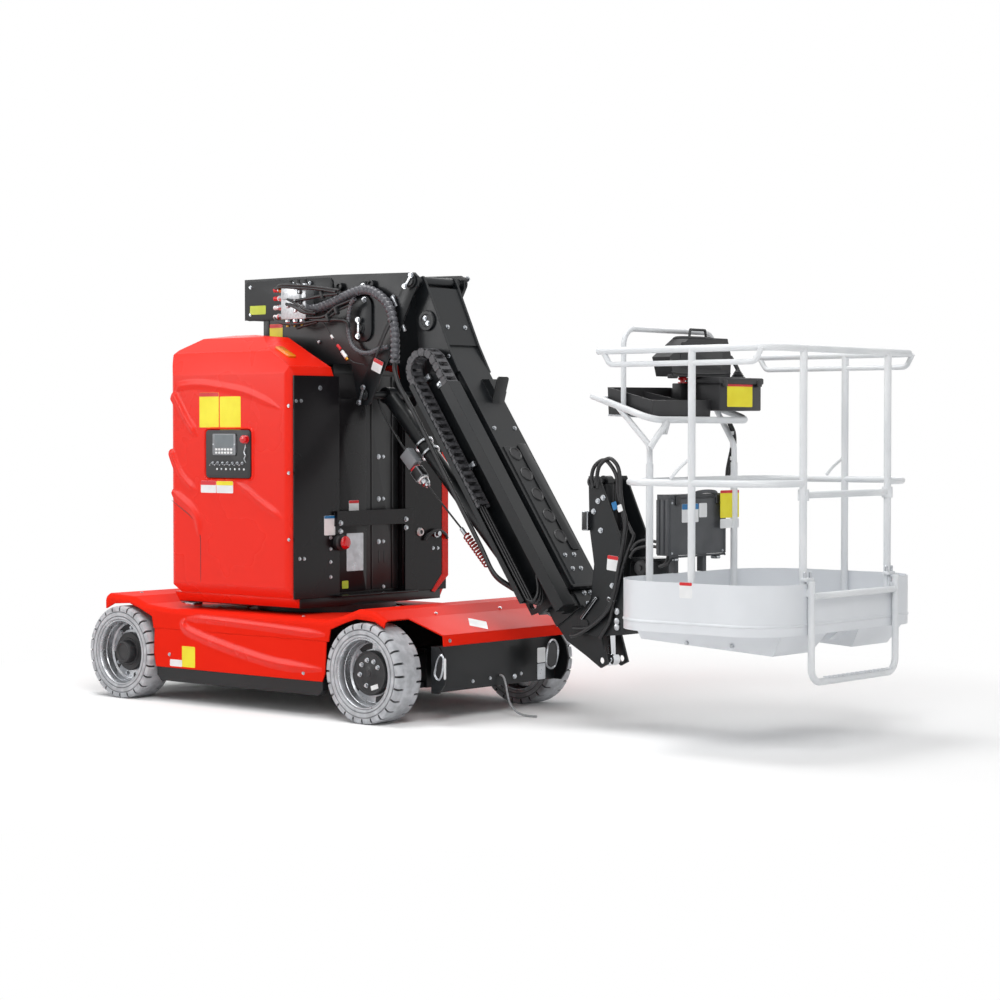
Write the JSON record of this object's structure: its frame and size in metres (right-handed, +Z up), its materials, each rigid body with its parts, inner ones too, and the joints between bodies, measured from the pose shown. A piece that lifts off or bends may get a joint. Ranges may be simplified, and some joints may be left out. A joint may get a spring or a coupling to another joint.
{
  "type": "vertical mast lift",
  "caption": "Self-propelled mast lift: slewing turret with side pods, nested telescopic mast, lowered telescopic jib and a railed work basket kept level by a linked arm",
  "frame": {"origin": "on the floor, at the middle of the overall length and width", "axes": "+X forward to the basket, +Y left, +Z up"},
  "size_m": [4.037, 1.2, 2.0099],
  "materials": {
    "battery_case": "battery case",
    "black_paint": "satin black enamel",
    "black_plastic": "moulded black",
    "chrome_rod": "hard chrome",
    "hose": "wrapped hose",
    "iron": "cast ballast",
    "light_paint": "light grey enamel",
    "mast_paint": "dark satin enamel",
    "panel_grey": "grey panel",
    "red_paint": "satin red enamel",
    "rim_paint": "silver enamel",
    "steel": "bright steel",
    "stop_red": "red",
    "strap_rubber": "conducting strap",
    "tyre_grey": "non-marking grey"
  },
  "bodies": {
    "chassis": {"chassis_frame": "black_paint", "deck_cover": "red_paint", "side_cover_right": "red_paint", "side_cover_left": "red_paint", "side_sills": "black_paint", "front_bumper": "black_paint", "rear_bumper": "black_paint", "front_axle": "black_paint", "rear_axle": "black_paint", "slew_ring": "black_paint", "earth_strap": "strap_rubber"},
    "knuckle_right": {"knuckle_right": "black_paint"},
    "knuckle_left": {"knuckle_left": "black_paint"},
    "wheel_front_right": {"tyre_front_right": "tyre_grey", "rim_front_right": "rim_paint"},
    "wheel_front_left": {"tyre_front_left": "tyre_grey", "rim_front_left": "rim_paint"},
    "wheel_rear_right": {"tyre_rear_right": "tyre_grey", "rim_rear_right": "rim_paint"},
    "wheel_rear_left": {"tyre_rear_left": "tyre_grey", "rim_rear_left": "rim_paint"},
    "turret": {"turret_base": "black_paint", "mast_column": "black_paint", "front_plates": "black_paint", "pod_right": "red_paint", "pod_left": "red_paint", "rear_cover": "black_paint", "counterweight": "iron", "battery_packs": "battery_case", "ground_panel": "panel_grey", "stop_button": "stop_red"},
    "mast_1": {"mast_stage_1": "mast_paint"},
    "mast_2": {"mast_stage_2": "mast_paint"},
    "mast_3": {"mast_stage_3": "mast_paint"},
    "mast_4": {"mast_stage_4": "mast_paint"},
    "mast_5": {"mast_stage_5": "mast_paint"},
    "mast_6": {"mast_stage_6": "mast_paint", "mast_head": "black_paint", "valve_block": "steel", "head_hose": "hose"},
    "lift_barrel": {"lift_barrel": "black_paint"},
    "lift_rod": {"lift_rod": "chrome_rod"},
    "jib": {"jib_outer": "black_paint", "chain_tray": "black_paint"},
    "jib_slide": {"jib_inner": "black_paint", "chain_tube": "black_paint"},
    "chain": {"energy_chain": "black_plastic"},
    "arm": {"level_arm": "black_paint"},
    "level_barrel": {"level_barrel": "black_paint"},
    "level_rod": {"level_rod": "chrome_rod"},
    "basket": {"basket_swivel": "black_paint", "basket_floor": "light_paint", "basket_rails": "light_paint", "access_step": "light_paint", "console_frame": "light_paint", "console_tray": "black_paint", "control_box": "black_plastic", "console_hood": "black_plastic", "document_case": "black_plastic"},
    "entry": {"entry_bar": "light_paint"}
  },
  "joints": [
    {"name": "steer_right", "type": "hinge", "parent": "chassis", "child": "knuckle_right", "pos_m": [-0.15, -0.462, 0.222], "axis": [0, 0, 1], "range_deg": [-35, 35]},
    {"name": "steer_left", "type": "hinge", "parent": "chassis", "child": "knuckle_left", "pos_m": [-0.15, 0.462, 0.222], "axis": [0, 0, 1], "range_deg": [-35.05, 35.05]},
    {"name": "spin_front_right", "type": "hinge", "parent": "knuckle_right", "child": "wheel_front_right", "pos_m": [-0.15, -0.525, 0.222], "axis": [0, 1, 0], "continuous": true},
    {"name": "spin_front_left", "type": "hinge", "parent": "knuckle_left", "child": "wheel_front_left", "pos_m": [-0.15, 0.525, 0.222], "axis": [0, 1, 0], "continuous": true},
    {"name": "spin_rear_right", "type": "hinge", "parent": "chassis", "child": "wheel_rear_right", "pos_m": [-1.76, -0.525, 0.222], "axis": [0, 1, 0], "continuous": true},
    {"name": "spin_rear_left", "type": "hinge", "parent": "chassis", "child": "wheel_rear_left", "pos_m": [-1.76, 0.525, 0.222], "axis": [0, 1, 0], "continuous": true},
    {"name": "slew", "type": "hinge", "parent": "chassis", "child": "turret", "pos_m": [-0.955, 0, 0.446], "axis": [0, 0, 1], "range_deg": [-172, 172]},
    {"name": "mast_raise", "type": "slide", "parent": "turret", "child": "mast_1", "axis": [0, 0, 1], "range_m": [0, 0.9]},
    {"name": "mast_raise_2", "type": "slide", "parent": "mast_1", "child": "mast_2", "axis": [0, 0, 1], "range_m": [0, 0.9002]},
    {"name": "mast_raise_3", "type": "slide", "parent": "mast_2", "child": "mast_3", "axis": [0, 0, 1], "range_m": [0, 0.9002]},
    {"name": "mast_raise_4", "type": "slide", "parent": "mast_3", "child": "mast_4", "axis": [0, 0, 1], "range_m": [0, 0.9002]},
    {"name": "mast_raise_5", "type": "slide", "parent": "mast_4", "child": "mast_5", "axis": [0, 0, 1], "range_m": [0, 0.9002]},
    {"name": "mast_raise_6", "type": "slide", "parent": "mast_5", "child": "mast_6", "axis": [0, 0, 1], "range_m": [0, 0.9002]},
    {"name": "jib_lift", "type": "hinge", "parent": "mast_6", "child": "jib", "pos_m": [-0.25, 0, 1.962], "axis": [0, -1, 0], "range_deg": [0, 88]},
    {"name": "jib_extend", "type": "slide", "parent": "jib", "child": "jib_slide", "axis": [0.5664, 0, -0.8241], "range_m": [0, 0.9]},
    {"name": "chain_follow", "type": "slide", "parent": "jib", "child": "chain", "axis": [0.5664, 0, -0.8241], "range_m": [0, 0.4502]},
    {"name": "platform_level", "type": "hinge", "parent": "jib_slide", "child": "arm", "pos_m": [0.7, 0, 0.455], "axis": [0, 1, 0], "range_deg": [0, 88.05]},
    {"name": "lift_barrel_swing", "type": "hinge", "parent": "mast_6", "child": "lift_barrel", "pos_m": [-0.547, 0, 1.45], "axis": [0, -1, 0], "range_deg": [0, 77.09]},
    {"name": "lift_rod_slide", "type": "slide", "parent": "lift_barrel", "child": "lift_rod", "axis": [0.6991, 0, -0.715], "range_m": [0, 0.7607]},
    {"name": "level_barrel_swing", "type": "hinge", "parent": "arm", "child": "level_barrel", "pos_m": [0.737, 0, 1.067], "axis": [0, -1, 0], "range_deg": [0, 9.98]},
    {"name": "level_rod_slide", "type": "slide", "parent": "level_barrel", "child": "level_rod", "axis": [0.043, 0, -0.9991], "range_m": [-0.2074, 0]},
    {"name": "platform_swing", "type": "hinge", "parent": "arm", "child": "basket", "pos_m": [1, 0, 0.73], "axis": [0, 0, 1], "range_deg": [-70, 70]},
    {"name": "entry_lift", "type": "slide", "parent": "basket", "child": "entry", "axis": [0, 0, 1], "range_m": [0, 0.4]}
  ],
  "couplings": [
    {"joint": "steer_left", "follows": "steer_right", "ratio": 1},
    {"joint": "mast_raise_2", "follows": "mast_raise", "ratio": 1},
    {"joint": "mast_raise_3", "follows": "mast_raise", "ratio": 1},
    {"joint": "mast_raise_4", "follows": "mast_raise", "ratio": 1},
    {"joint": "mast_raise_5", "follows": "mast_raise", "ratio": 1},
    {"joint": "mast_raise_6", "follows": "mast_raise", "ratio": 1},
    {"joint": "platform_level", "follows": "jib_lift", "ratio": 1},
    {"joint": "chain_follow", "follows": "jib_extend", "ratio": 0.5},
    {"joint": "lift_barrel_swing", "follows": "jib_lift", "ratio": 0.87545},
    {"joint": "lift_rod_slide", "follows": "jib_lift", "m_per_rad": 0.49515},
    {"joint": "level_barrel_swing", "follows": "jib_lift", "ratio": 0.11289},
    {"joint": "level_rod_slide", "follows": "jib_lift", "m_per_rad": -0.1349}
  ]
}
